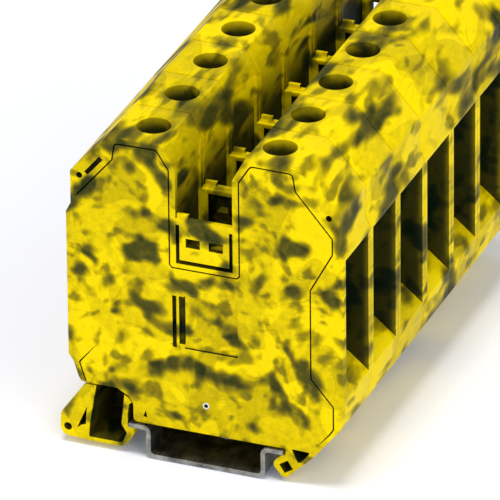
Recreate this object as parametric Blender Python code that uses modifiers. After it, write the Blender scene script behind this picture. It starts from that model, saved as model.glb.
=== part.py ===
"""A row of high-current screw terminal blocks on a 35 x 7.5 mm top-hat rail.

Frame: origin at the centre of the rail's underside, +Y along the rail (the blocks follow
each other towards +Y), +X across it, +Z up.  All lengths in the tables are millimetres.
Profile tables are (x, z) with z counted from the top of the rail's flanges.
"""
import math

import bmesh
import bpy
from mathutils import Matrix, Vector

MM = 0.001

# ---- driving dimensions ------------------------------------------------------------
BLOCKS = 7              # blocks clipped side by side
PITCH = 16.0            # one block to the next
WIDTH = 15.7            # one block along the rail
GAP = 0.3               # between pieces that touch
SKIN = 1.3              # side cover, back wall and front web
DECK = 7.5              # flange top above the rail's underside
RAIL_LENGTH = 113.0
RAIL_WIDTH = 35.0
RAIL_CHANNEL = 27.0     # outside width of the rail's channel
RAIL_SHEET = 1.0
SLOT_PITCH, SLOT_LENGTH, SLOT_WIDTH = 25.0, 15.0, 6.2

CLAMP_X = 14.2          # screw axis from the block's centre plane
WELL_R = 3.6            # screwdriver well
HEAD_R, HEAD_BOTTOM, HEAD_TOP = 3.3, 50.5, 56.5
SHANK_R = 2.5           # M5, 0.8 mm thread pitch
SOCKET_ACROSS, SOCKET_DEPTH = 4.0, 3.2
BAR = (-21.5, 21.5, 31.5, 34.5)         # x from, x to, underside, top
BAR_WIDTH = 9.4
CAGE = (9.6, 18.8, 19.0, 39.0)          # x from, x to, bottom, top, screws backed off
CAGE_WIDTH, CAGE_SIDE, CAGE_FLOOR, CAGE_TOP = 12.2, 1.1, 2.0, 3.0
ENTRY_R, ENTRY_Z = 5.2, 26.25           # round wire entry
VALLEY = 6.4            # half width of the channel between the two towers
WEB_TOP = 50.6          # top of the walls across the channel
SHAFT_FLOOR = 39.9
FOOT_PIVOT = (-25.9, 9.6)
KNOB_R, SOCKET_R = 1.2, 1.5

MID_Y = (SKIN + WIDTH - SKIN) / 2
BACK_Y = WIDTH - SKIN   # front of the back wall

# ---- profiles ----------------------------------------------------------------------
TOWER = [(31.2, 13.6), (31.2, 47.8), (30.1, 50.0), (30.1, 57.6), (21.6, 67.2), (9.3, 67.2),
         (6.4, 61.8), (6.4, WEB_TOP)]
FIXED_FOOT = [(17.9, 0.3), (17.9, -1.3), (17.0, -1.45), (15.2, -3.2), (15.2, -4.4),
              (17.3, -6.6), (18.3, -6.5), (24.2, -0.6), (30.4, 7.2)]
LATCH_SIDE = [(-31.2, 13.8), (-30.1, 12.3), (-28.6, 7.9), (-27.6, 7.6), (-20.2, 7.6),
              (-17.4, 5.9), (-16.8, 5.0), (-16.6, 4.4), (-16.6, 0.9), (-16.0, 0.3)]
RIM = [(6.9, 39.0), (7.7, 39.8), (7.7, 61.6), (10.1, 65.4), (11.0, 66.0), (19.4, 65.9),
       (20.2, 65.2), (20.7, 61.9), (28.9, 52.2), (28.9, 48.3), (23.9, 39.1), (23.9, 18.2),
       (28.9, 12.4)]
RIM_BOTTOM_RIGHT = [(28.9, 6.9), (28.0, 5.5), (24.6, 1.8), (22.2, 4.2), (15.8, 4.2),
                    (14.6, 3.0), (14.6, -1.0)]
RIM_BOTTOM_LEFT = [(-14.6, -1.0), (-14.6, 5.4), (-17.5, 8.3), (-20.4, 8.3), (-21.6, 7.0),
                   (-27.2, 7.0)]
FOOT = [(-27.3, 7.2), (-33.1, -0.4), (-33.4, -4.2), (-32.4, -6.0), (-28.8, -6.4),
        (-19.8, -6.4), (-18.2, -5.5), (-17.2, -4.0), (-16.6, -2.9), (-16.6, -1.35),
        (-17.95, -1.35), (-17.95, 1.7), (-17.7, 5.5), (-18.6, 6.1), (-20.4, 7.2)]
FOOT_WINDOW = [(-24.9, 8.0), (-26.6, -2.0), (-26.9, -5.4), (-19.3, -5.4), (-18.3, -3.0),
               (-19.4, -0.8), (-19.0, 2.8), (-18.5, 8.0)]
FOOT_NOTCH = [(-27.3, 1.6), (-29.6, -3.8), (-27.6, -2.6)]
FUNNEL = [(32.5, 13.2), (26.6, 18.2), (24.4, 18.6), (24.4, 39.4), (28.9, 47.0), (32.5, 47.0)]
POCKET_RIGHT = [(2.0, 2.0), (13.0, 2.0), (14.6, 5.6), (21.8, 5.6), (22.6, 7.0), (22.6, 16.6),
                (2.0, 16.6)]
POCKET_LEFT = [(-2.0, 2.0), (-2.0, 16.6), (-22.2, 16.6), (-22.2, 10.4), (-16.9, 9.8),
               (-13.0, 6.8), (-13.0, 2.0)]
FOOT_TRIANGLE = [(19.3, 0.2), (22.9, 0.0), (20.9, -2.4), (19.7, -2.0)]
PEGS = [(0.0, 13.0), (-18.8, 57.5), (18.8, 57.5)]


def mirrored(points):
    return [(-x, z) for x, z in reversed(points)]


HOUSING = FIXED_FOOT + TOWER + mirrored(TOWER)[:-1] + LATCH_SIDE
RECESS = RIM_BOTTOM_LEFT + mirrored(RIM) + RIM + RIM_BOTTOM_RIGHT


# ---- scene helpers -----------------------------------------------------------------
def clear_scene():
    for obj in list(bpy.data.objects):
        bpy.data.objects.remove(obj, do_unlink=True)


def collection(name):
    made = bpy.data.collections.new(name)
    bpy.context.scene.collection.children.link(made)
    return made


def principled(name, colour, roughness, metallic=0.0):
    mat = bpy.data.materials.new(name)
    mat.use_nodes = True
    mat.diffuse_color = (*colour, 1.0)
    shader = mat.node_tree.nodes["Principled BSDF"]
    shader.inputs["Base Color"].default_value = (*colour, 1.0)
    shader.inputs["Roughness"].default_value = roughness
    shader.inputs["Metallic"].default_value = metallic
    return mat


def new_object(name, mesh, group):
    obj = bpy.data.objects.new(name, mesh)
    group.objects.link(obj)
    return obj


def offset(points, distance):
    """The outline moved inwards by distance, for a polygon of either winding."""
    area = sum(a[0] * b[1] - b[0] * a[1] for a, b in zip(points, points[1:] + points[:1]))
    side = distance if area > 0 else -distance
    out = []
    count = len(points)
    for i in range(count):
        before = Vector(points[i]) - Vector(points[i - 1])
        after = Vector(points[(i + 1) % count]) - Vector(points[i])
        before.normalize()
        after.normalize()
        n1 = Vector((-before.y, before.x))
        n2 = Vector((-after.y, after.x))
        bisector = (n1 + n2).normalized()
        reach = side / max(0.3, bisector.dot(n1))
        out.append((points[i][0] + bisector.x * reach, points[i][1] + bisector.y * reach))
    return out


def arc(centre, radius, start, end, steps):
    """Points on an arc, angles in degrees from +x towards +z."""
    out = []
    for i in range(steps + 1):
        a = math.radians(start + (end - start) * i / steps)
        out.append((centre[0] + radius * math.cos(a), centre[1] + radius * math.sin(a)))
    return out


# ---- shapes ------------------------------------------------------------------------
def slab(name, outline, y0, y1, group):
    """A flat (x, z) outline made solid from y0 to y1."""
    curve = bpy.data.curves.new(name, "CURVE")
    curve.dimensions = "2D"
    curve.fill_mode = "BOTH"
    curve.extrude = (y1 - y0) / 2 * MM
    spline = curve.splines.new("POLY")
    spline.points.add(len(outline) - 1)
    for point, (x, z) in zip(spline.points, outline):
        point.co = (x * MM, (z + DECK) * MM, 0.0, 1.0)
    spline.use_cyclic_u = True
    guide = new_object(name + ".curve", curve, group)
    guide.rotation_euler = (math.pi / 2, 0.0, 0.0)
    guide.location = (0.0, (y0 + y1) / 2 * MM, 0.0)
    bpy.context.view_layer.update()
    evaluated = guide.evaluated_get(bpy.context.evaluated_depsgraph_get())
    mesh = bpy.data.meshes.new_from_object(evaluated)
    mesh.transform(guide.matrix_world)
    mesh.name = name
    bpy.data.objects.remove(guide, do_unlink=True)
    bm = bmesh.new()
    bm.from_mesh(mesh)
    bmesh.ops.remove_doubles(bm, verts=bm.verts, dist=0.000001)
    bmesh.ops.recalc_face_normals(bm, faces=bm.faces)
    bm.to_mesh(mesh)
    bm.free()
    return new_object(name, mesh, group)


def block(name, x, y, z, group):
    """A box from (low, high) pairs, z from the flange top."""
    bm = bmesh.new()
    size = Vector((x[1] - x[0], y[1] - y[0], z[1] - z[0])) * MM
    centre = Vector((x[0] + x[1], y[0] + y[1], z[0] + z[1] + 2 * DECK)) * (MM / 2)
    bmesh.ops.create_cube(bm, size=1.0,
                          matrix=Matrix.Translation(centre) @ Matrix.Diagonal(size).to_4x4())
    mesh = bpy.data.meshes.new(name)
    bm.to_mesh(mesh)
    bm.free()
    return new_object(name, mesh, group)


def rod(name, radius, start, end, steps, group, turn=0.0):
    """A cylinder between two (x, y, z) points, z from the flange top."""
    a = Vector((start[0], start[1], start[2] + DECK)) * MM
    b = Vector((end[0], end[1], end[2] + DECK)) * MM
    along = b - a
    place = (Matrix.Translation((a + b) / 2) @ along.to_track_quat("Z", "Y").to_matrix().to_4x4()
             @ Matrix.Rotation(turn, 4, "Z"))
    bm = bmesh.new()
    bmesh.ops.create_cone(bm, cap_ends=True, segments=steps, radius1=radius * MM,
                          radius2=radius * MM, depth=along.length, matrix=place)
    mesh = bpy.data.meshes.new(name)
    bm.to_mesh(mesh)
    bm.free()
    return new_object(name, mesh, group)


def combine(obj, tool, operation="DIFFERENCE"):
    """One Boolean step with the exact solver; the tool stays as a wire guide."""
    tool.hide_render = True
    tool.display_type = "WIRE"
    step = obj.modifiers.new(tool.name, "BOOLEAN")
    step.operation = operation
    step.solver = "EXACT"
    step.object = tool


def finished_mesh(obj, tools):
    """The evaluated mesh, moved so that its origin stays at the block's own zero."""
    bpy.context.view_layer.update()
    evaluated = obj.evaluated_get(bpy.context.evaluated_depsgraph_get())
    mesh = bpy.data.meshes.new_from_object(evaluated)
    mesh.name = obj.name
    bm = bmesh.new()
    bm.from_mesh(mesh)
    bmesh.ops.remove_doubles(bm, verts=bm.verts, dist=0.000001)
    bmesh.ops.dissolve_limit(bm, angle_limit=0.0005, verts=bm.verts, edges=bm.edges)
    bmesh.ops.triangulate(bm, faces=bm.faces)
    bm.to_mesh(mesh)
    bm.free()
    bpy.data.objects.remove(obj, do_unlink=True)
    for tool in list(tools.objects):
        bpy.data.objects.remove(tool, do_unlink=True)
    return mesh


# ---- moulded housing ---------------------------------------------------------------
def housing_mesh(tools):
    body = slab("housing", HOUSING, 0.0, WIDTH, tools)
    add = []
    cut = [slab("cover_recess", RECESS, -1.0, SKIN + GAP, tools),
           block("bar_slot", (-9.5, 9.5), (1.0, BACK_Y), (BAR[2] - GAP, BAR[3] + GAP), tools),
           block("bridge_shaft", (-VALLEY, VALLEY), (SKIN, BACK_Y), (SHAFT_FLOOR, 70.0), tools),
           rod("bridge_hole", 2.6, (0, MID_Y, 34.0), (0, MID_Y, 41.0), 8, tools),
           block("centre_pocket", (-7.0, 7.0), (1.0, BACK_Y), (19.9, 29.4), tools),
           slab("pocket_right", POCKET_RIGHT, 1.0, BACK_Y, tools),
           slab("pocket_left", POCKET_LEFT, 1.0, BACK_Y, tools),
           rod("rivet_hole", 0.75, (0, -1.0, 7.1), (0, 3.0, 7.1), 6, tools)]
    for side in (-1, 1):
        word = "left" if side < 0 else "right"
        funnel = FUNNEL if side > 0 else mirrored(FUNNEL)
        x0, x1 = sorted((side * 9.0, side * 22.6))
        cut += [block("chamber_" + word, (x0, x1), (1.0, BACK_Y), (18.6, 49.0), tools),
                rod("well_" + word, WELL_R, (side * CLAMP_X, MID_Y, HEAD_BOTTOM - GAP),
                    (side * CLAMP_X, MID_Y, 70.0), 14, tools),
                rod("ledge_" + word, SHANK_R + GAP, (side * CLAMP_X, MID_Y, 48.0),
                    (side * CLAMP_X, MID_Y, 51.0), 8, tools),
                slab("funnel_" + word, funnel, SKIN, BACK_Y, tools),
                rod("entry_" + word, ENTRY_R, (side * 22.0, MID_Y, ENTRY_Z),
                    (side * 25.0, MID_Y, ENTRY_Z), 12, tools),
                rod("marker_hole_" + word, 0.7, (side * 28.0, -1.0, 56.9),
                    (side * 28.0, 3.0, 56.9), 6, tools)]
        x0, x1 = sorted((side * VALLEY, side * (VALLEY - 0.8)))
        cut.append(block("web_slot_" + word, (x0, x1), (-1.0, 1.5), (40.0, 49.2), tools))
        x0, x1 = sorted((side * 1.0, side * 4.2))
        cut.append(block("web_window_" + word, (x0, x1), (-1.0, 1.5), (44.1, 46.2), tools))
    cut.append(block("web_slot_low", (-VALLEY, VALLEY), (-1.0, 1.5), (40.0, 40.9), tools))
    # the bridge passes through the back wall: a post on the left and a thin bar stay
    cut.append(block("bridge_passage", (-4.7, 6.1), (BACK_Y - 0.2, WIDTH + 1.0), (40.4, 49.6),
                     tools))
    cut += [rod("peg_hole", 1.3, (x, 0.5, z), (x, 3.6, z), 6, tools) for x, z in PEGS]
    # the latch foot's snap-in pivot: a round socket with a narrower mouth
    px, pz = FOOT_PIVOT
    cut.append(rod("pivot_socket", SOCKET_R, (px, 1.0, pz), (px, 13.3, pz), 10, tools))
    cut.append(block("pivot_mouth", (px - 1.05, px + 1.05), (1.0, 13.3), (7.0, pz), tools))
    # fixed foot: square hole and a triangular weight-saver
    cut.append(rod("foot_square", 1.6, (18.0, -1.0, -4.0), (18.0, WIDTH + 1.0, -4.0), 4, tools,
                   math.radians(40)))
    cut.append(slab("foot_triangle", FOOT_TRIANGLE, -1.0, BACK_Y, tools))
    cut.append(slab("shoulder_groove", [(-26.7, 58.0), (-25.9, 57.4), (-22.7, 61.3),
                                        (-23.5, 62.0)], -1.0, 1.0, tools))
    add.append(block("web_tab", (-6.2, -3.6), (0.4, 1.1), (49.9, 51.6), tools))
    for tool in cut:
        combine(body, tool)
    for tool in add:
        combine(body, tool, "UNION")
    return finished_mesh(body, tools)


# ---- side cover --------------------------------------------------------------------
def cover_mesh(tools):
    body = slab("side_cover", offset(RECESS, GAP), 0.0, SKIN, tools)
    combine(body, slab("cover_limit", HOUSING, -1.0, 5.0, tools), "INTERSECT")
    combine(body, block("cover_pocket", (-7.4, 7.4), (-1.0, 0.6), (19.9, 32.5), tools))
    combine(body, rod("rivet_hole", 0.75, (0, -1, 7.1), (0, 3, 7.1), 6, tools))
    for i, (x, z) in enumerate(PEGS):
        combine(body, rod("peg%d" % i, 1.0, (x, 0.8, z), (x, 3.2, z), 6, tools), "UNION")
    return finished_mesh(body, tools)


# ---- metal parts -------------------------------------------------------------------
def bar_mesh(tools):
    x0, x1, z0, z1 = BAR
    body = block("current_bar", (x0, x1), (MID_Y - BAR_WIDTH / 2, MID_Y + BAR_WIDTH / 2),
                 (z0, z1), tools)
    combine(body, rod("bridge_thread", 1.65, (0, MID_Y, z0 - 1), (0, MID_Y, z1 + 1), 8, tools))
    return finished_mesh(body, tools)


def cage_mesh(tools):
    """One clamp cage about its own screw axis (x and y zero on the axis)."""
    x0, x1, z0, z1 = CAGE
    x0, x1 = x0 - CLAMP_X, x1 - CLAMP_X
    half = CAGE_WIDTH / 2
    body = block("clamp_cage", (x0, x1), (-half, half), (z0, z1), tools)
    combine(body, block("cage_mouth", (x0 - 1, x1 + 1), (CAGE_SIDE - half, half - CAGE_SIDE),
                        (z0 + CAGE_FLOOR, z1 - CAGE_TOP), tools))
    combine(body, rod("cage_thread", SHANK_R + GAP, (0, 0, z1 - CAGE_TOP - 1),
                      (0, 0, z1 + 1), 10, tools))
    return finished_mesh(body, tools)


def screw_mesh(tools):
    """Cheese-head clamp screw turned about its axis, with a hexagon socket."""
    tip = BAR[3] + GAP
    profile = [(0.0, HEAD_TOP), (HEAD_R - 0.4, HEAD_TOP), (HEAD_R, HEAD_TOP - 0.4),
               (HEAD_R, HEAD_BOTTOM), (SHANK_R, HEAD_BOTTOM), (SHANK_R, tip + 0.6),
               (SHANK_R - 0.6, tip), (0.0, tip)]
    mesh = bpy.data.meshes.new("clamp_screw")
    bm = bmesh.new()
    points = [bm.verts.new((r * MM, 0.0, (z + DECK) * MM)) for r, z in profile]
    for a, b in zip(points, points[1:]):
        bm.edges.new((a, b))
    bm.to_mesh(mesh)
    bm.free()
    body = new_object("clamp_screw", mesh, tools)
    turn = body.modifiers.new("turned", "SCREW")
    turn.axis = "Z"
    turn.steps = 12
    turn.render_steps = 12
    turn.use_merge_vertices = True
    turn.merge_threshold = 0.00001
    combine(body, rod("hex_socket", SOCKET_ACROSS / math.sqrt(3),
                      (0, 0, HEAD_TOP - SOCKET_DEPTH), (0, 0, HEAD_TOP + 1), 6, tools))
    return finished_mesh(body, tools)


# ---- sprung rail foot --------------------------------------------------------------
def foot_mesh(tools):
    """The latch foot about its pivot axis (x and z zero on the axis)."""
    body = slab("rail_foot", FOOT, 0.0, WIDTH, tools)
    combine(body, slab("foot_window", FOOT_WINDOW, -1.0, BACK_Y, tools))
    combine(body, slab("foot_notch", FOOT_NOTCH, -1.0, BACK_Y, tools))
    combine(body, rod("foot_eye", 0.9, (-31.7, -1, -3.9), (-31.7, WIDTH + 1, -3.9), 8, tools))
    px, pz = FOOT_PIVOT
    neck = 0.55
    dip = math.degrees(math.asin(neck / KNOB_R))
    knob = ([(px - neck, 6.6), (px + neck, 6.6)]
            + arc(FOOT_PIVOT, KNOB_R, -90.0 + dip, 270.0 - dip, 8))
    combine(body, slab("pivot_knob", knob, 1.9, 12.9, tools), "UNION")
    mesh = finished_mesh(body, tools)
    mesh.transform(Matrix.Translation((-px * MM, 0.0, -(pz + DECK) * MM)))
    return mesh


# ---- rail --------------------------------------------------------------------------
def rail_mesh(tools):
    """Rolled hat profile: flanges on top, channel down, oblong slots in its web."""
    tip = RAIL_WIDTH / 2
    wall = RAIL_CHANNEL / 2
    inner = wall - RAIL_SHEET
    low = -DECK
    right = ([(tip, -RAIL_SHEET)] + [(tip, 0.0)]
             + arc((wall + 0.5, -1.5), 1.5, 90.0, 180.0, 3)
             + arc((inner - 0.8, low + RAIL_SHEET + 0.8), 0.8, 0.0, -90.0, 2))
    under = (arc((wall - 1.8, low + 1.8), 1.8, -90.0, 0.0, 3)
             + arc((wall + 0.5, -RAIL_SHEET - 0.5), 0.5, 180.0, 90.0, 2))
    top = right
    outline = top + mirrored(top) + [(-x, z) for x, z in reversed(under)] + under
    body = slab("din_rail", outline, -RAIL_LENGTH / 2, RAIL_LENGTH / 2, tools)
    count = 4
    for i in range(count):
        y = (i - (count - 1) / 2) * SLOT_PITCH
        flat = SLOT_LENGTH / 2 - SLOT_WIDTH / 2
        combine(body, block("slot%d" % i, (-SLOT_WIDTH / 2, SLOT_WIDTH / 2),
                            (y - flat, y + flat), (low - 1, low + 3), tools))
        for j, end in enumerate((y - flat, y + flat)):
            combine(body, rod("slot_end%d%d" % (i, j), SLOT_WIDTH / 2, (0, end, low - 1),
                              (0, end, low + 3), 10, tools))
    return finished_mesh(body, tools)


# ---- assembly ----------------------------------------------------------------------
def place(name, mesh, mat, parts, x=0.0, y=0.0, z=0.0):
    obj = new_object(name, mesh, parts)
    obj.location = (x * MM, y * MM, z * MM)
    if not mesh.materials:
        mesh.materials.append(mat)
    mesh.shade_smooth()
    mesh.set_sharp_from_angle(angle=math.radians(30))
    return obj


def main():
    clear_scene()
    parts = collection("din_rail_terminal_row")
    tools = collection("cutters")

    plastic = principled("yellow polyamide", (0.87, 0.70, 0.01), 0.42)
    cover_plastic = principled("yellow polyamide cover", (0.84, 0.67, 0.01), 0.45)
    foot_plastic = principled("yellow polyamide foot", (0.80, 0.63, 0.01), 0.45)
    copper = principled("tinned copper", (0.72, 0.70, 0.66), 0.3, 1.0)
    cage_steel = principled("zinc plated steel", (0.62, 0.62, 0.60), 0.35, 1.0)
    screw_steel = principled("yellow passivated steel", (0.66, 0.60, 0.45), 0.35, 1.0)
    rail_steel = principled("rail steel", (0.50, 0.51, 0.51), 0.4, 1.0)

    rail = rail_mesh(tools)
    housing = housing_mesh(tools)
    cover = cover_mesh(tools)
    bar = bar_mesh(tools)
    cage = cage_mesh(tools)
    screw = screw_mesh(tools)
    foot = foot_mesh(tools)

    place("din_rail", rail, rail_steel, parts)
    first = -BLOCKS * PITCH / 2 + (PITCH - WIDTH) / 2
    px, pz = FOOT_PIVOT
    for i in range(BLOCKS):
        y = first + i * PITCH
        tag = "_%d" % (i + 1)
        place("housing" + tag, housing, plastic, parts, y=y)
        place("side_cover" + tag, cover, cover_plastic, parts, y=y)
        place("current_bar" + tag, bar, copper, parts, y=y)
        for side, word in ((-1, "left"), (1, "right")):
            place("clamp_screw_%s%s" % (word, tag), screw, screw_steel, parts,
                  x=side * CLAMP_X, y=y + MID_Y)
            place("clamp_cage_%s%s" % (word, tag), cage, cage_steel, parts,
                  x=side * CLAMP_X, y=y + MID_Y)
        place("rail_foot" + tag, foot, foot_plastic, parts, x=px, y=y, z=pz + DECK)


main()
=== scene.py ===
"""High-current screw terminal blocks on a 35 mm top-hat rail: the finished look.

Metres, +Z up, +Y along the rail. Profile tables are (x, z) in millimetres, with z counted
from the top of the rail's flanges.
"""
import math

import bpy
from mathutils import Matrix, Vector


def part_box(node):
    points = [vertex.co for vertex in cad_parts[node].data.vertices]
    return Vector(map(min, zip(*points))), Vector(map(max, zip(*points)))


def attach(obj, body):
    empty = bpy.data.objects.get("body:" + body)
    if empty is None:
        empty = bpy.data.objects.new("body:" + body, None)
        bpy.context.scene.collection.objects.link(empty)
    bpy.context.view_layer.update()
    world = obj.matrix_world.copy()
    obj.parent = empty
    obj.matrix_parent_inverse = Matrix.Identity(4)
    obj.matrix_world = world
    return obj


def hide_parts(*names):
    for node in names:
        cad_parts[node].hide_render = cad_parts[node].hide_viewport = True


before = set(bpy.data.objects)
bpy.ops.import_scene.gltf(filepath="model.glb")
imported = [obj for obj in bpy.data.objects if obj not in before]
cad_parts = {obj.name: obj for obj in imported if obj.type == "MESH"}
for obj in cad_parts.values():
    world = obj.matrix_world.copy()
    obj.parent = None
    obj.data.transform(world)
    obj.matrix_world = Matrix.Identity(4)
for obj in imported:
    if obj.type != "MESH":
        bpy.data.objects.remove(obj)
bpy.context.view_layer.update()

MM = 0.001
BLOCKS = 7
PITCH = 16.0
DECK = 7.5                                  # flange top above the rail's underside
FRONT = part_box("housing_1")[0][1] / MM      # front face of the first block
WIDTH = (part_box("housing_1")[1][1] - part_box("housing_1")[0][1]) / MM
SKIN = 1.3                                  # cover, back wall and front web
BACK = WIDTH - SKIN
MID = WIDTH / 2
CLAMP = 14.2                                # clamp screws from the centre plane
WELL = 3.7                                  # radius of a driver well
WELL_FLOOR = 50.2
LEDGE = 2.8                                 # radius of the hole in a well's floor
ENTRY = 5.2                                 # radius of a round wire entry
ENTRY_HEIGHT = 26.25
PIN_HOLE = 0.7                              # radius of the two small holes at the shoulders
VALLEY = 6.4                                # half width between the towers at the web
SHAFT = 7.0                                 # half width of the shaft behind the web
SHAFT_FLOOR = 39.9
WEB = (40.8, 49.3)                          # bottom and top of the web's stepped face
WEB_STEP = 0.06
FOOT_SQUARE = (18.0, -4.0)                  # square hole in the fixed foot
FOOT_EYE = (-31.7, -3.9)                    # round hole in the latch foot
RIVET_HEIGHT = 7.1
COVER_GAP = 0.32                            # air around the cover
TIGHT_GAP = 0.01                            # where the cover fits closely
EDGE = 0.2                                  # rounding of the moulded edges
FINE_EDGE = 0.1                             # the same on the cover and its rivet
OVER = 1.0                                  # how far a cutting tool stands past a face
CAD_EDGE = 0.15                             # rounding of the solids that are kept
SMOOTH = math.radians(40)                   # edges sharper than this stay crisp
BRIGHTEST = 1.2                             # value of the print that fills the colour ramp

# material slots of a moulded piece; slot 0 is its outside, the others paint shade into hollows,
# wire entries, the valley walls and the wells
PAINTED_SHADE, ENTRY_PAINTED_SHADE, VALLEY_PAINTED_SHADE, WELL_PAINTED_SHADE = range(1, 5)

# ---- profiles ----------------------------------------------------------------------
TOWER = [(31.2, 13.6), (31.2, 47.8), (30.1, 50.0), (30.1, 57.6), (21.6, 67.2), (9.3, 67.2),
         (6.4, 61.8), (6.4, 50.6)]
FIXED_FOOT = [(17.9, 0.3), (17.9, -1.3), (17.0, -1.45), (15.6, -2.7), (15.2, -3.4),
              (15.3, -4.4), (17.0, -6.4), (17.5, -6.6), (18.3, -6.4), (24.2, -0.6),
              (30.4, 7.2)]
LATCH_SIDE = [(-31.2, 13.8), (-30.1, 12.3), (-29.0, 8.8), (-28.5, 7.9), (-27.6, 7.6),
              (-20.2, 7.6), (-17.4, 5.9), (-17.0, 5.3), (-16.7, 4.6), (-16.6, 4.0),
              (-16.6, 1.2), (-16.4, 0.6), (-15.8, 0.3)]
RIM = [(7.2, 39.0), (7.7, 39.5), (7.7, 61.6), (10.1, 65.4), (10.6, 65.9), (11.2, 66.0),
       (19.2, 65.9), (19.9, 65.7), (20.2, 65.1), (20.7, 61.9), (28.8, 52.3), (28.9, 51.9),
       (28.9, 48.6), (28.8, 48.2), (23.9, 39.1), (23.9, 18.2), (28.7, 12.6), (28.9, 12.2)]
RIM_RIGHT = [(28.9, 6.9), (28.0, 5.5), (24.6, 1.8), (22.2, 4.2), (15.8, 4.2), (14.6, 3.0),
             (14.6, -1.0)]
RIM_LEFT = [(-14.6, -1.0), (-14.6, 5.4), (-17.5, 8.3), (-20.4, 8.3), (-21.6, 7.0),
            (-27.2, 7.0)]
FOOT = [(-27.3, 7.2), (-28.0, 6.6), (-32.9, -0.2), (-33.3, -1.2), (-33.4, -4.2),
        (-33.1, -5.2), (-32.4, -5.9), (-31.2, -6.1), (-28.8, -6.2), (-27.6, -6.4),
        (-19.9, -6.4), (-18.9, -6.1), (-18.1, -5.3), (-17.2, -4.0), (-16.6, -2.9),
        (-16.6, -1.5), (-16.8, -1.35), (-17.95, -1.35), (-17.95, 1.7), (-17.6, 4.2),
        (-17.05, 4.5), (-17.3, 5.1), (-17.65, 5.6), (-20.4, 7.2)]
FOOT_WINDOW = [(-24.9, 8.0), (-26.6, -2.0), (-26.9, -5.2), (-26.7, -5.5), (-19.6, -5.5),
               (-19.2, -5.2), (-18.3, -3.2), (-18.3, -2.8), (-19.3, -1.2), (-19.4, -0.6),
               (-19.0, 2.8), (-18.5, 8.0)]
FOOT_NOTCH = [(-27.3, 1.6), (-29.6, -3.8), (-28.6, -3.0), (-27.6, -2.6)]
FUNNEL = [(32.5, 13.2), (26.6, 18.2), (24.4, 18.6), (24.4, 39.4), (28.9, 47.0), (32.5, 47.0)]
SHOULDER_GROOVE = [(-26.9, 57.9), (-26.1, 57.3), (-22.6, 61.4), (-23.4, 62.1)]
FOOT_TRIANGLE = [(19.3, 0.5), (23.2, 0.4), (23.2, -0.1), (21.3, -2.4), (20.6, -2.5)]
PIVOT = (-25.9, 9.6)


def mirrored(points):
    return [(-x, z) for x, z in reversed(points)]


HOUSING = FIXED_FOOT + TOWER + mirrored(TOWER)[:-1] + LATCH_SIDE
RECESS = RIM_LEFT + mirrored(RIM) + RIM + RIM_RIGHT


# ---- materials ---------------------------------------------------------------------
def linear(code):
    """An sRGB hex value as linear RGBA."""
    rgb = [int(code[i:i + 2], 16) / 255 for i in (1, 3, 5)]
    return (*[c / 12.92 if c <= 0.04045 else ((c + 0.055) / 1.055) ** 2.4 for c in rgb], 1.0)


def add(mat, kind, links=None, **settings):
    """Adds a node: settings are attributes, or input values by name or number."""
    node = mat.node_tree.nodes.new(kind)
    for key, value in settings.items():
        if hasattr(node, key):
            setattr(node, key, value)
        else:
            name = int(key[1:]) if key[0] == "i" and key[1:].isdigit() else key.replace("_", " ")
            node.inputs[name].default_value = value
    for name, source in (links or {}).items():
        mat.node_tree.links.new(source, node.inputs[name])
    return node


def new_material(name):
    mat = bpy.data.materials.new(name)
    mat.use_nodes = True
    return mat, mat.node_tree.nodes["Principled BSDF"]


def ramp(node, stops):
    elements = node.color_ramp.elements
    while len(elements) < len(stops):
        elements.new(0.5)
    for element, (place, code) in zip(elements, stops):
        element.position = place
        element.color = linear(code)


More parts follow.
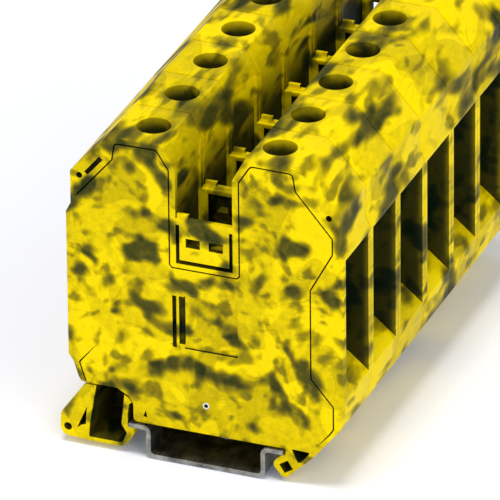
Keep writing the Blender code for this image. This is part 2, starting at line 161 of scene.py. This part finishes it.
def marbled_polyamide(name, stops, painted_shade_fade=None):
    """Moulded polyamide 6.6, printed all over with a smudged olive camouflage.

    To the eye it is a saturated, nearly matt yellow under soft dark clouds; given dark stops it
    is painted shade.
    painted_shade_fade is (axis, light, dark): the places along one axis between which painted
    shade darkens it, in metres.
    """
    mat, shader = new_material(name)
    link = mat.node_tree.links.new
    where = add(mat, "ShaderNodeTexCoord").outputs["Object"]
    # the print is drawn out along the row, to about twice its height
    drawn = add(mat, "ShaderNodeMapping", {"Vector": where}, Scale=(1.0, 0.45, 1.0)).outputs[0]
    # a slow swirl, about 15 mm across, bends the blotches
    swirl = add(mat, "ShaderNodeTexNoise", {"Vector": drawn}, Scale=70.0, Detail=1.0)
    centred = add(mat, "ShaderNodeVectorMath", {0: swirl.outputs["Color"]},
                  operation="SUBTRACT", i1=(0.5, 0.5, 0.5))
    bent = add(mat, "ShaderNodeVectorMath", {0: centred.outputs[0], 2: drawn},
               operation="MULTIPLY_ADD", i1=(0.007, 0.007, 0.007)).outputs[0]
    ripple = add(mat, "ShaderNodeTexNoise", {"Vector": drawn}, Scale=130.0, Detail=0.0)
    centred = add(mat, "ShaderNodeVectorMath", {0: ripple.outputs["Color"]},
                  operation="SUBTRACT", i1=(0.5, 0.5, 0.5))
    curved = add(mat, "ShaderNodeVectorMath", {0: centred.outputs[0], 2: bent},
                 operation="MULTIPLY_ADD", i1=(0.008, 0.008, 0.008)).outputs[0]

    def layer(source, low, high, strength, under):
        """Lays one more darkening coat over what is already there."""
        coat = add(mat, "ShaderNodeMapRange", {0: source}, interpolation_type="SMOOTHSTEP",
                   i1=low, i2=high, i3=1.0, i4=1.0 - strength)
        if under is None:
            return coat.outputs[0]
        return add(mat, "ShaderNodeMath", {0: coat.outputs[0], 1: under},
                   operation="MULTIPLY").outputs[0]

    # large soft blotches, 6 to 9 mm across
    blotch = add(mat, "ShaderNodeTexNoise", {"Vector": bent}, Scale=150.0, Detail=1.5)
    light = layer(blotch.outputs[0], 0.51, 0.68, 0.66, None)
    # smaller ones on top, 4 mm
    moved = add(mat, "ShaderNodeMapping", {"Vector": bent}, Location=(0.13, 0.27, 0.41))
    small = add(mat, "ShaderNodeTexNoise", {"Vector": moved.outputs[0]}, Scale=260.0,
                Detail=1.6)
    light = layer(small.outputs[0], 0.51, 0.69, 0.4, light)
    # leaf-shaped coats with a blurred rim, 9 mm
    for shift, strength in (((0.0, 0.0, 0.0), 0.12), ((0.31, 0.17, 0.23), 0.09)):
        moved = add(mat, "ShaderNodeMapping", {"Vector": curved}, Location=shift)
        leaf = add(mat, "ShaderNodeTexVoronoi", {"Vector": moved.outputs[0]},
                   feature="SMOOTH_F1", Scale=105.0, Smoothness=0.35)
        tone = add(mat, "ShaderNodeSeparateColor", {0: leaf.outputs["Color"]}).outputs[0]
        light = layer(tone, 0.52, 0.64, strength, light)
    # feathered edges, about 1 mm
    smudge = add(mat, "ShaderNodeTexNoise", {"Vector": drawn}, Scale=650.0, Detail=4.0,
                 Roughness=0.62)
    frayed = add(mat, "ShaderNodeMath", {0: smudge.outputs[0], 2: light},
                 operation="MULTIPLY_ADD", i1=0.3)
    scaled = add(mat, "ShaderNodeMath", {0: frayed.outputs[0]}, operation="DIVIDE",
                 i1=BRIGHTEST)
    colour = add(mat, "ShaderNodeValToRGB", {0: scaled.outputs[0]})
    ramp(colour, stops)
    # thin curved hair lines, in pairs
    vein = add(mat, "ShaderNodeTexNoise", {"Vector": bent}, Scale=75.0, Detail=0.6)
    wave = add(mat, "ShaderNodeMath", {0: vein.outputs[0]}, operation="PINGPONG", i1=0.035)
    line = add(mat, "ShaderNodeMapRange", {0: wave.outputs[0]}, i1=0.0, i2=0.003, i3=0.35,
               i4=0.0)
    patch = add(mat, "ShaderNodeTexNoise", {"Vector": drawn}, Scale=95.0, Detail=0.0)
    zone = add(mat, "ShaderNodeMapRange", {0: patch.outputs[0]}, i1=0.58, i2=0.68)
    amount = add(mat, "ShaderNodeMath", {0: line.outputs[0], 1: zone.outputs[0]},
                 operation="MULTIPLY")
    lined = add(mat, "ShaderNodeMix", {0: amount.outputs[0], 6: colour.outputs[0]},
                data_type="RGBA", i7=linear("#6B6210"))
    result = lined.outputs[2]
    if painted_shade_fade:    # painted shade, darker towards the depths along one axis
        axis, light, dark = painted_shade_fade
        apart = add(mat, "ShaderNodeSeparateXYZ", {0: where})
        side = add(mat, "ShaderNodeMath", {0: apart.outputs[axis]}, operation="ABSOLUTE")
        deep = add(mat, "ShaderNodeMapRange", {0: side.outputs[0]},
                   interpolation_type="SMOOTHSTEP", i1=dark, i2=light, i3=0.96, i4=0.0)
        shade = add(mat, "ShaderNodeMix", {0: deep.outputs[0], 6: result},
                    data_type="RGBA", i7=linear("#06170C"))
        result = shade.outputs[2]
    link(result, shader.inputs["Base Color"])
    # the gloss differs a little over the surface; fine spark-eroded grain, 0.3 mm
    sheen = add(mat, "ShaderNodeMapRange", {0: smudge.outputs[0]}, i1=0.3, i2=0.7, i3=0.4,
                i4=0.55)
    link(sheen.outputs[0], shader.inputs["Roughness"])
    grain = add(mat, "ShaderNodeTexNoise", {"Vector": where}, Scale=3300.0, Detail=2.0)
    bump = add(mat, "ShaderNodeBump", {"Height": grain.outputs[0]}, Strength=0.05,
               Distance=0.0002)
    link(bump.outputs[0], shader.inputs["Normal"])
    shader.inputs["IOR"].default_value = 1.53
    shader.inputs["Specular IOR Level"].default_value = 0.04
    return mat


def rolled_steel(name, light, dark, rough):
    """Rolled or drawn metal: streaked along the rolling direction, softly glossy."""
    mat, shader = new_material(name)
    link = mat.node_tree.links.new
    where = add(mat, "ShaderNodeTexCoord").outputs["Object"]
    drawn = add(mat, "ShaderNodeMapping", {"Vector": where}, Scale=(1.0, 0.06, 1.0))
    streak = add(mat, "ShaderNodeTexNoise", {"Vector": drawn.outputs[0]}, Scale=2200.0,
                 Detail=4.0)
    cloud = add(mat, "ShaderNodeTexNoise", {"Vector": where}, Scale=260.0, Detail=3.0)
    both = add(mat, "ShaderNodeMath", {0: streak.outputs[0], 2: cloud.outputs[0]},
               operation="MULTIPLY_ADD", i1=0.5)
    colour = add(mat, "ShaderNodeValToRGB", {0: both.outputs[0]})
    ramp(colour, [(0.55, dark), (0.95, light)])
    link(colour.outputs[0], shader.inputs["Base Color"])
    gloss = add(mat, "ShaderNodeMapRange", {0: streak.outputs[0]}, i1=0.3, i2=0.7,
                i3=rough - 0.08, i4=rough + 0.1)
    link(gloss.outputs[0], shader.inputs["Roughness"])
    bump = add(mat, "ShaderNodeBump", {"Height": streak.outputs[0]}, Strength=0.15,
               Distance=0.00005)
    link(bump.outputs[0], shader.inputs["Normal"])
    shader.inputs["Metallic"].default_value = 1.0
    return mat


# ---- modelling ---------------------------------------------------------------------
def deselect():
    if bpy.context.object and bpy.context.object.mode != "OBJECT":
        bpy.ops.object.mode_set(mode="OBJECT")
    bpy.ops.object.select_all(action="DESELECT")


def only(obj):
    deselect()
    obj.select_set(True)
    bpy.context.view_layer.objects.active = obj


def plate(name, outline, y0, y1):
    """A flat outline drawn on a ring of points and extruded from y0 to y1."""
    deselect()
    bpy.ops.mesh.primitive_circle_add(vertices=len(outline), radius=0.01)
    obj = bpy.context.object
    obj.name = name
    for vertex, (x, z) in zip(obj.data.vertices, outline):
        vertex.co = (x * MM, (FRONT + y0) * MM, (z + DECK) * MM)
    bpy.ops.object.mode_set(mode="EDIT")
    bpy.ops.mesh.select_all(action="SELECT")
    bpy.ops.mesh.edge_face_add()
    bpy.ops.mesh.extrude_region_move(
        TRANSFORM_OT_translate={"value": (0.0, (y1 - y0) * MM, 0.0)})
    bpy.ops.mesh.select_all(action="SELECT")
    bpy.ops.mesh.normals_make_consistent(inside=False)
    bpy.ops.object.mode_set(mode="OBJECT")
    return obj


def bar(name, x, y, z):
    """A box between (low, high) pairs."""
    deselect()
    place = ((x[0] + x[1]) / 2 * MM, (FRONT + (y[0] + y[1]) / 2) * MM,
             ((z[0] + z[1]) / 2 + DECK) * MM)
    bpy.ops.mesh.primitive_cube_add(size=1.0, location=place)
    obj = bpy.context.object
    obj.name = name
    obj.scale = ((x[1] - x[0]) * MM, (y[1] - y[0]) * MM, (z[1] - z[0]) * MM)
    bpy.ops.object.transform_apply(location=True, rotation=True, scale=True)
    return obj


def round_bar(name, radius, start, end, sides=32, turn=0.0):
    """A cylinder between two (x, y, z) points."""
    deselect()
    a = Vector((start[0], FRONT + start[1], start[2] + DECK)) * MM
    b = Vector((end[0], FRONT + end[1], end[2] + DECK)) * MM
    facing = (b - a).to_track_quat("Z", "Y").to_matrix().to_4x4() @ Matrix.Rotation(turn, 4, "Z")
    bpy.ops.mesh.primitive_cylinder_add(vertices=sides, radius=radius * MM,
                                        depth=(b - a).length, location=(a + b) / 2,
                                        rotation=facing.to_euler())
    obj = bpy.context.object
    obj.name = name
    bpy.ops.object.transform_apply(location=True, rotation=True, scale=True)
    return obj


def join_in(obj, tools, operation="DIFFERENCE"):
    for tool in tools:
        only(obj)
        step = obj.modifiers.new("step", "BOOLEAN")
        step.operation = operation
        step.solver = "EXACT"
        step.object = tool
        bpy.ops.object.modifier_apply(modifier=step.name)
        bpy.data.objects.remove(tool, do_unlink=True)


def soften(obj, width):
    """Tidies the cut faces, rounds the edges and shades the piece."""
    only(obj)
    bpy.ops.object.mode_set(mode="EDIT")
    bpy.ops.mesh.select_all(action="SELECT")
    bpy.ops.mesh.remove_doubles(threshold=0.000002)
    bpy.ops.mesh.dissolve_limited(angle_limit=math.radians(0.3))
    bpy.ops.object.mode_set(mode="OBJECT")
    edge = obj.modifiers.new("edge", "BEVEL")
    edge.width = width * MM
    edge.segments = 2
    edge.limit_method = "ANGLE"
    edge.angle_limit = math.radians(32.0)
    edge.miter_outer = "MITER_ARC"
    edge.use_clamp_overlap = True
    bpy.ops.object.modifier_apply(modifier=edge.name)
    bpy.ops.object.shade_smooth_by_angle(angle=SMOOTH)


def within(x, z, outline):
    hit = False
    for (x0, z0), (x1, z1) in zip(outline, outline[1:] + outline[:1]):
        if (z0 > z) != (z1 > z) and x < (x1 - x0) * (z - z0) / (z1 - z0) + x0:
            hit = not hit
    return hit


def paint_shade_in_hollows(obj, mats, hollows):
    """Gives faces that look into a hollow its material slot, with painted shade.

    A hollow is (slot, outline, y0, y1). The first one that a face looks into counts.
    """
    for mat in mats:
        obj.data.materials.append(mat)
    for face in obj.data.polygons:
        spot = (face.center + face.normal * (0.15 * MM)) / MM   # just in front of the face
        y, z = spot.y - FRONT, spot.z - DECK
        for slot, outline, y0, y1 in hollows:
            if slot == VALLEY_PAINTED_SHADE and abs(face.normal.x) < 0.7:
                continue        # only the valley's side walls
            if y0 < y < y1 and within(spot.x, z, outline):
                face.material_index = slot
                break


def rect(x0, x1, z0, z1):
    return [(x0, z0), (x1, z0), (x1, z1), (x0, z1)]


def repeat(master, name, number, body, node):
    """A copy of the first block's piece for block number, with its own mesh."""
    piece = master
    if number > 1:
        piece = master.copy()
        piece.data = master.data.copy()
        bpy.context.scene.collection.objects.link(piece)
        piece.data.transform(Matrix.Translation((0.0, (number - 1) * PITCH * MM, 0.0)))
    piece.name = "%s_%d" % (name, number)
    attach(piece, body)
    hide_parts(node)
    return piece


def inset(points, distance):
    """The outline moved inwards by distance."""
    area = sum(a[0] * b[1] - b[0] * a[1] for a, b in zip(points, points[1:] + points[:1]))
    side = distance if area > 0 else -distance
    out = []
    for i, point in enumerate(points):
        before = (Vector(point) - Vector(points[i - 1])).normalized()
        after = (Vector(points[(i + 1) % len(points)]) - Vector(point)).normalized()
        n1, n2 = Vector((-before.y, before.x)), Vector((-after.y, after.x))
        middle = (n1 + n2).normalized()
        reach = side / max(0.3, middle.dot(n1))
        out.append((point[0] + middle.x * reach, point[1] + middle.y * reach))
    return out


def clamp_side_cuts(side):
    """Tools for one clamp: its chamber, driver well, funnel and wire entry."""
    x = side * CLAMP
    funnel = FUNNEL if side > 0 else mirrored(FUNNEL)
    return [bar("chamber", sorted((side * 9.0, side * 22.6)), (1.0, BACK), (18.6, 49.0)),
            round_bar("well", WELL, (x, MID, WELL_FLOOR), (x, MID, 70.0), 48),
            round_bar("ledge", LEDGE, (x, MID, 48.0), (x, MID, 51.0)),
            plate("funnel", funnel, SKIN, BACK),
            round_bar("entry", ENTRY, (side * 22.0, MID, ENTRY_HEIGHT),
                      (side * 25.0, MID, ENTRY_HEIGHT), 40),
            round_bar("pin_hole", PIN_HOLE, (side * 28.0, -OVER, 56.9),
                      (side * 28.0, 3.0, 56.9), 16),
            bar("web_slot", sorted((side * VALLEY, side * (VALLEY - 0.8))), (-OVER, 1.5),
                (40.0, 49.2)),
            bar("web_window", sorted((side * 1.0, side * 4.2)), (-OVER, 1.5), (44.1, 46.2))]


def clamp_side_hollows(side):
    x = side * CLAMP
    chamber = sorted((side * 9.0, side * 24.3))
    mouth = sorted((side * 24.2, side * 31.0))
    return [(WELL_PAINTED_SHADE, rect(x - 3.65, x + 3.65, 50.3, 67.05), MID - 3.65, MID + 3.65),
            (PAINTED_SHADE, rect(*chamber, 18.6, 49.0), 1.0, BACK + 0.1),
            (ENTRY_PAINTED_SHADE, rect(*mouth, 18.7, 46.8), SKIN, BACK + 0.1)]


def moulded_housing(mats):
    """The two-towered body with its fixed rail foot, from the front face backwards."""
    body = plate("housing_shell", HOUSING, 0.0, WIDTH)
    cuts = [bar("bar_slot", (-9.5, 9.5), (1.0, BACK), (31.2, 34.8)),
            bar("shaft", (-SHAFT, SHAFT), (SKIN, BACK), (SHAFT_FLOOR, 70.0)),
            bar("bridge_window", (-4.8, SHAFT), (BACK - OVER, WIDTH + OVER), (40.4, 49.7)),
            round_bar("bridge_hole", 2.6, (0, MID, 34.0), (0, MID, 41.0)),
            bar("web_slot_low", (-VALLEY, VALLEY), (-OVER, 1.5), (40.0, 40.9)),
            bar("web_face", (-5.7, 5.7), (-OVER, WEB_STEP), WEB)]
    for side in (-1, 1):
        cuts += clamp_side_cuts(side)
    px, pz = PIVOT
    fx, fz = FOOT_SQUARE
    cuts += [round_bar("pivot_socket", 1.5, (px, 1.0, pz), (px, 13.3, pz), 24),
             bar("pivot_mouth", (px - 1.05, px + 1.05), (1.0, 13.3), (7.0, pz)),
             round_bar("foot_square", 1.6, (fx, -OVER, fz), (fx, WIDTH + OVER, fz), 4,
                       math.radians(12)),
             plate("foot_triangle", FOOT_TRIANGLE, -OVER, BACK),
             plate("shoulder_groove", SHOULDER_GROOVE, -OVER, 1.0)]
    join_in(body, cuts)
    join_in(body, [bar("web_tab", (-6.2, -3.6), (0.3, 1.1), (49.9, 51.6))], "UNION")
    soften(body, EDGE)
    join_in(body, [plate("recess", RECESS, -OVER, SKIN + 0.3)])     # a sharp-edged seat
    bpy.ops.object.shade_smooth_by_angle(angle=SMOOTH)
    # painted shade in the shaft, the foot's holes, the sides of the cover's seat and the valley
    # walls, then in each clamp's well, chamber and entry
    hollows = [(PAINTED_SHADE, rect(-6.9, 6.9, SHAFT_FLOOR, 49.6), SKIN, 99.0),
               (PAINTED_SHADE, rect(fx - 2.0, fx + 2.0, fz - 2.0, fz + 2.0), 0.1, 99.0),
               (PAINTED_SHADE, FOOT_TRIANGLE, 0.1, 99.0),
               (PAINTED_SHADE, HOUSING, 0.12, SKIN + 0.3),
               (VALLEY_PAINTED_SHADE, rect(-7.2, 7.2, SHAFT_FLOOR, 61.7), 0.1, 99.0)]
    for side in (-1, 1):
        hollows += clamp_side_hollows(side)
    paint_shade_in_hollows(body, mats, hollows)
    return body


def side_cover(mats):
    """The hourglass-shaped plate in the front, with its shallow pocket and two deep slots."""
    body = plate("side_cover_plate", rect(-33.0, 33.0, -3.0, 70.0), 0.0, SKIN)
    join_in(body, [bar("pocket", (-4.7, 7.3), (-OVER, 0.6), (19.9, 32.5)),
                   bar("pocket_deep", (-7.4, -6.5), (-OVER, 1.1), (19.9, 32.2)),
                   bar("pocket_step", (-5.9, -4.7), (-OVER, 1.1), (20.9, 32.2)),
                   plate("corner_notch", [(-14.3, 1.9), (-13.5, 1.8), (-13.8, 3.3)], -OVER, 1.1),
                   round_bar("rivet", 0.5, (0, -OVER, RIVET_HEIGHT), (0, 3.0, RIVET_HEIGHT),
                             20)])
    soften(body, FINE_EDGE)
    edge = []
    for (x, z), wide, narrow in zip(RECESS, inset(RECESS, COVER_GAP), inset(RECESS, TIGHT_GAP)):
        waist = x < -23.0 and 18.0 < z < 52.1
        bottom = -22.0 < x < 24.7 and z < 8.5
        edge.append(narrow if waist or bottom else wide)
    join_in(body, [plate("edge", edge, -OVER, 5.0)], "INTERSECT")
    join_in(body, [plate("limit", HOUSING, -OVER, 5.0)], "INTERSECT")
    bpy.ops.object.shade_smooth_by_angle(angle=SMOOTH)
    # painted shade in the pocket's deep slot, the rivet hole, the corner notch and the pocket's
    # lower wall
    paint_shade_in_hollows(body, mats, [
        (PAINTED_SHADE, rect(-7.5, -4.7, 19.8, 32.3), 0.12, 1.2),
        (PAINTED_SHADE, rect(-0.6, 0.6, RIVET_HEIGHT - 0.6, RIVET_HEIGHT + 0.6), 0.15, 2.0),
        (PAINTED_SHADE, rect(-14.4, -13.4, 1.7, 3.4), 0.12, 2.0),
        (PAINTED_SHADE, rect(-4.6, 7.2, 19.8, 20.2), 0.12, 0.55)])
    for face in body.data.polygons:     # painted shade on the cut edge of the plate, seen only in the gap
        x, z = face.center.x / MM, face.center.z / MM - DECK
        if abs(face.normal.y) < 0.5 and not (abs(x) < 8.0 and 19.0 < z < 33.0):
            face.material_index = PAINTED_SHADE
    return body


def hollow_rivet(mat):
    """The small tubular rivet in the cover."""
    body = round_bar("hollow_rivet_tube", 0.8, (0, -0.06, RIVET_HEIGHT), (0, 0.9, RIVET_HEIGHT),
                     28)
    join_in(body, [round_bar("bore", 0.42, (0, -OVER, RIVET_HEIGHT), (0, 2.0, RIVET_HEIGHT), 24)])
    soften(body, FINE_EDGE)
    body.data.materials.append(mat)
    return body


def latch_foot(mats):
    """The sprung foot that hooks under the rail, with the knob that it swings on."""
    body = plate("latch_foot_body", FOOT, 0.0, WIDTH)
    ex, ez = FOOT_EYE
    join_in(body, [plate("window", FOOT_WINDOW, -OVER, BACK),
                   plate("notch", FOOT_NOTCH, -OVER, BACK),
                   round_bar("eye", 0.9, (ex, -OVER, ez), (ex, WIDTH + OVER, ez), 28)])
    px, pz = PIVOT
    knob = round_bar("knob", 1.2, (px, 1.9, pz), (px, 12.9, pz), 28)
    join_in(knob, [bar("neck", (px - 0.55, px + 0.55), (1.9, 12.9), (6.6, pz))], "UNION")
    join_in(body, [knob], "UNION")
    soften(body, EDGE)
    # painted shade in the foot's window, notch and eye, and in the gap by its inner leg
    paint_shade_in_hollows(body, mats, [
        (PAINTED_SHADE, FOOT_WINDOW, 0.4, 99.0),
        (PAINTED_SHADE, FOOT_NOTCH, 0.3, 99.0),
        (PAINTED_SHADE, rect(ex - 1.1, ex + 1.1, ez - 1.1, ez + 1.1), 0.3, 99.0),
        (PAINTED_SHADE, rect(-17.98, -16.6, -1.3, 4.5), 0.2, 99.0)])
    return body


# ---- make the pieces ---------------------------------------------------------------
# the marbling from its darkest smudge to clean yellow outside, and darker stops for painted shade
# inside a hollow
OUTSIDE = [(place / BRIGHTEST, code) for place, code in
           [(0.32, "#2C3212"), (0.48, "#4F4D18"), (0.62, "#786C14"), (0.75, "#96870D"),
            (0.87, "#B9A403"), (1.0, "#DBC201"), (1.15, "#FDE000")]]
PAINTED_SHADE_STOPS = [(0.27, "#04120A"), (0.5, "#0F1C0D"), (0.7, "#20260E"), (0.85, "#3D3A0D"),
          (0.96, "#5F550A")]
yellow = marbled_polyamide("marbled yellow polyamide", OUTSIDE)
# painted shade: a dark copy of the print in hollows, and copies that darken with depth in the
# entries, the valley and the wells
painted_hollow_shade = marbled_polyamide("marbled yellow polyamide, depths", PAINTED_SHADE_STOPS)
painted_entry_shade = marbled_polyamide("marbled yellow polyamide, entries", OUTSIDE, (0, 0.0345, 0.0296))
painted_valley_shade = marbled_polyamide("marbled yellow polyamide, valley", OUTSIDE, (2, 0.0715, 0.0555))
painted_well_shade = marbled_polyamide("marbled yellow polyamide, wells", OUTSIDE, (2, 0.0766, 0.0716))
# zinc-plated rail strip: mid grey and dull
rail_steel = rolled_steel("cold-rolled rail steel", "#A9A9A4", "#55544F", 0.38)
# stamped and zinc-plated: lighter and a little brighter than the rail
bright_steel = rolled_steel("zinc-plated clamp steel", "#C9C9C4", "#7C7C78", 0.32)
# tin over copper: a warm pale grey
tinned = rolled_steel("tinned copper", "#D8D3C8", "#8F897C", 0.28)
# nickel over brass: nearly white
nickel = rolled_steel("nickel-plated brass", "#F2F2EE", "#D5D5D0", 0.3)

housing = moulded_housing((yellow, painted_hollow_shade, painted_entry_shade, painted_valley_shade, painted_well_shade))
cover = side_cover((yellow, painted_hollow_shade))
foot = latch_foot((yellow, painted_hollow_shade))
rivet = hollow_rivet(nickel)
web_face = rect(-6.0, 6.0, 40.0, 49.5)
for number in range(BLOCKS, 0, -1):
    tag = "_%d" % number
    shell = repeat(housing, "housing_shell", number, "row", "housing" + tag)
    if number > 1:      # painted shade: this web stands in the shade of the block in front
        near = (FRONT + (number - 1) * PITCH + WEB_STEP) * MM
        for face in shell.data.polygons:
            x, y, z = face.center
            if abs(y - near) < 0.03 * MM and within(x / MM, z / MM - DECK, web_face):
                face.material_index = PAINTED_SHADE
    repeat(cover, "cover_plate", number, "row", "side_cover" + tag)
    repeat(rivet, "hollow_rivet", number, "row", "side_cover" + tag)
    repeat(foot, "latch_foot", number, "foot" + tag, "rail_foot" + tag)

# the solids that are kept, by the start of their names
KEPT = {"clamp_screw": bright_steel, "clamp_cage": bright_steel, "current_bar": tinned,
        "din_rail": rail_steel}
for name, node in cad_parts.items():
    for start, mat in KEPT.items():
        if name.startswith(start):
            node.data.materials.clear()
            node.data.materials.append(mat)
            rounded = node.modifiers.new("rounded_edges", "BEVEL")
            rounded.width = CAD_EDGE * MM
            rounded.segments = 2
            rounded.limit_method = "ANGLE"
            rounded.angle_limit = SMOOTH

# ---- studio ------------------------------------------------------------------------
deselect()
bpy.ops.mesh.primitive_plane_add(size=6.0, location=(0.0, 0.0, -0.0002))
floor = bpy.context.object
floor.name = "studio_floor"
# matt bluish white, with a little light of its own that keeps the shadows neutral
paper, paper_shader = new_material("white studio paper")
paper_shader.inputs["Base Color"].default_value = linear("#FBFBFF")
paper_shader.inputs["Roughness"].default_value = 0.9
paper_shader.inputs["Emission Color"].default_value = linear("#C4D8FF")
paper_shader.inputs["Emission Strength"].default_value = 0.1
floor.data.materials.append(paper)

world = bpy.data.worlds.new("studio")
bpy.context.scene.world = world
world.use_nodes = True
world.node_tree.nodes["Background"].inputs[0].default_value = (1.0, 1.0, 1.0, 1.0)
world.node_tree.nodes["Background"].inputs[1].default_value = 0.45
bpy.context.scene.view_settings.view_transform = "Standard"


def softbox(name, place, size, power):
    lamp = bpy.data.lights.new(name, "AREA")
    lamp.size = size
    lamp.energy = power
    obj = bpy.data.objects.new(name, lamp)
    obj.location = place
    obj.rotation_euler = (-Vector(place)).to_track_quat("-Z", "Y").to_euler()
    bpy.context.scene.collection.objects.link(obj)


softbox("key", (0.05, -0.3, 1.75), 0.5, 15.6)
softbox("front", (-0.3, -1.75, 0.55), 0.7, 4.3)
softbox("fill", (1.0, -0.7, 0.85), 0.9, 4.7)

# ---- camera ------------------------------------------------------------------------
AZIMUTH, ELEVATION, ROLL = math.radians(21.84), math.radians(28.0), math.radians(-0.59)
DISTANCE = 2.139
LENS = 735.0                                # a long lens: hardly any perspective
AIM_HEIGHT = 0.0375
AIM_RIGHT, AIM_UP = 0.00945, 0.01266        # from there to the middle of the picture

forward = Vector((-math.sin(AZIMUTH) * math.cos(ELEVATION),
                  math.cos(AZIMUTH) * math.cos(ELEVATION), -math.sin(ELEVATION)))
turn = Matrix.Rotation(-ROLL, 3, forward)
right = turn @ Vector((math.cos(AZIMUTH), math.sin(AZIMUTH), 0.0))
above = right.cross(forward)
aim = Vector((0.0, FRONT * MM, AIM_HEIGHT)) + right * AIM_RIGHT + above * AIM_UP
lens = bpy.data.cameras.new("camera")
lens.sensor_width = 36.0
lens.lens = LENS
lens.clip_end = 20.0
camera = bpy.data.objects.new("camera", lens)
bpy.context.scene.collection.objects.link(camera)
camera.matrix_world = (Matrix.Translation(aim - forward * DISTANCE)
                       @ Matrix((right, above, -forward)).transposed().to_4x4())
bpy.context.scene.camera = camera
